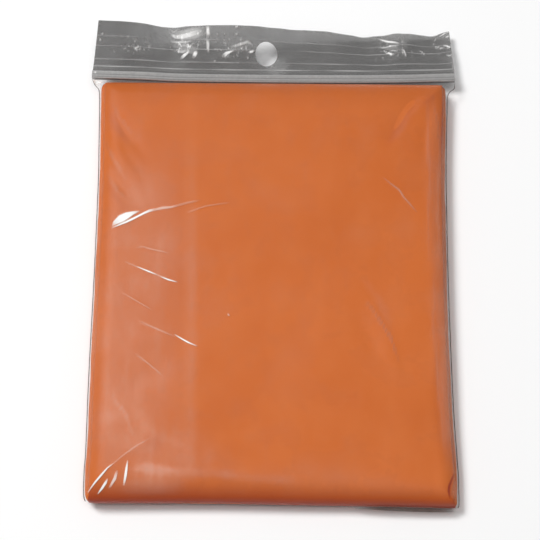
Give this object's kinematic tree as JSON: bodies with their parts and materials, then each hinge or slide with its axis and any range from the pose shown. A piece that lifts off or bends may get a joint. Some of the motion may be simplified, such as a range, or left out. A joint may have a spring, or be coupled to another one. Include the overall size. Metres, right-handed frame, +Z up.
{
  "type": "rain poncho folded in a clear zip pouch",
  "caption": "Plastic film rain poncho folded to a flat pack, shut in its clear press-to-close pouch with a wavy lip and a round hang hole.",
  "frame": {"origin": "middle of the pouch's box in plan, at the height of the surface that its underside rests on", "axes": "+Z up from the surface it lies on, +Y from the folded front edge toward the closure and the lip, +X across the pouch to the right seen from above with the lip away from the viewer"},
  "size_m": [0.1596, 0.2162, 0.0212],
  "materials": {
    "poncho_film": "soft orange plastic film with a satin sheen",
    "clear_film": "thin clear film, glossy, softly creased",
    "lip_film": "two clear films together, smoky where they overlap, with fine grip lines and crackled highlights",
    "zip_track": "pale translucent plastic"
  },
  "bodies": {
    "root": {"poncho_folded_layers": "poncho_film", "poncho_outer_panel": "poncho_film", "pouch_back_film": "clear_film", "pouch_front_film": "clear_film", "lip_front_film": "lip_film", "lip_back_film": "lip_film", "zip_groove": "zip_track", "zip_rib": "zip_track"}
  },
  "joints": []
}
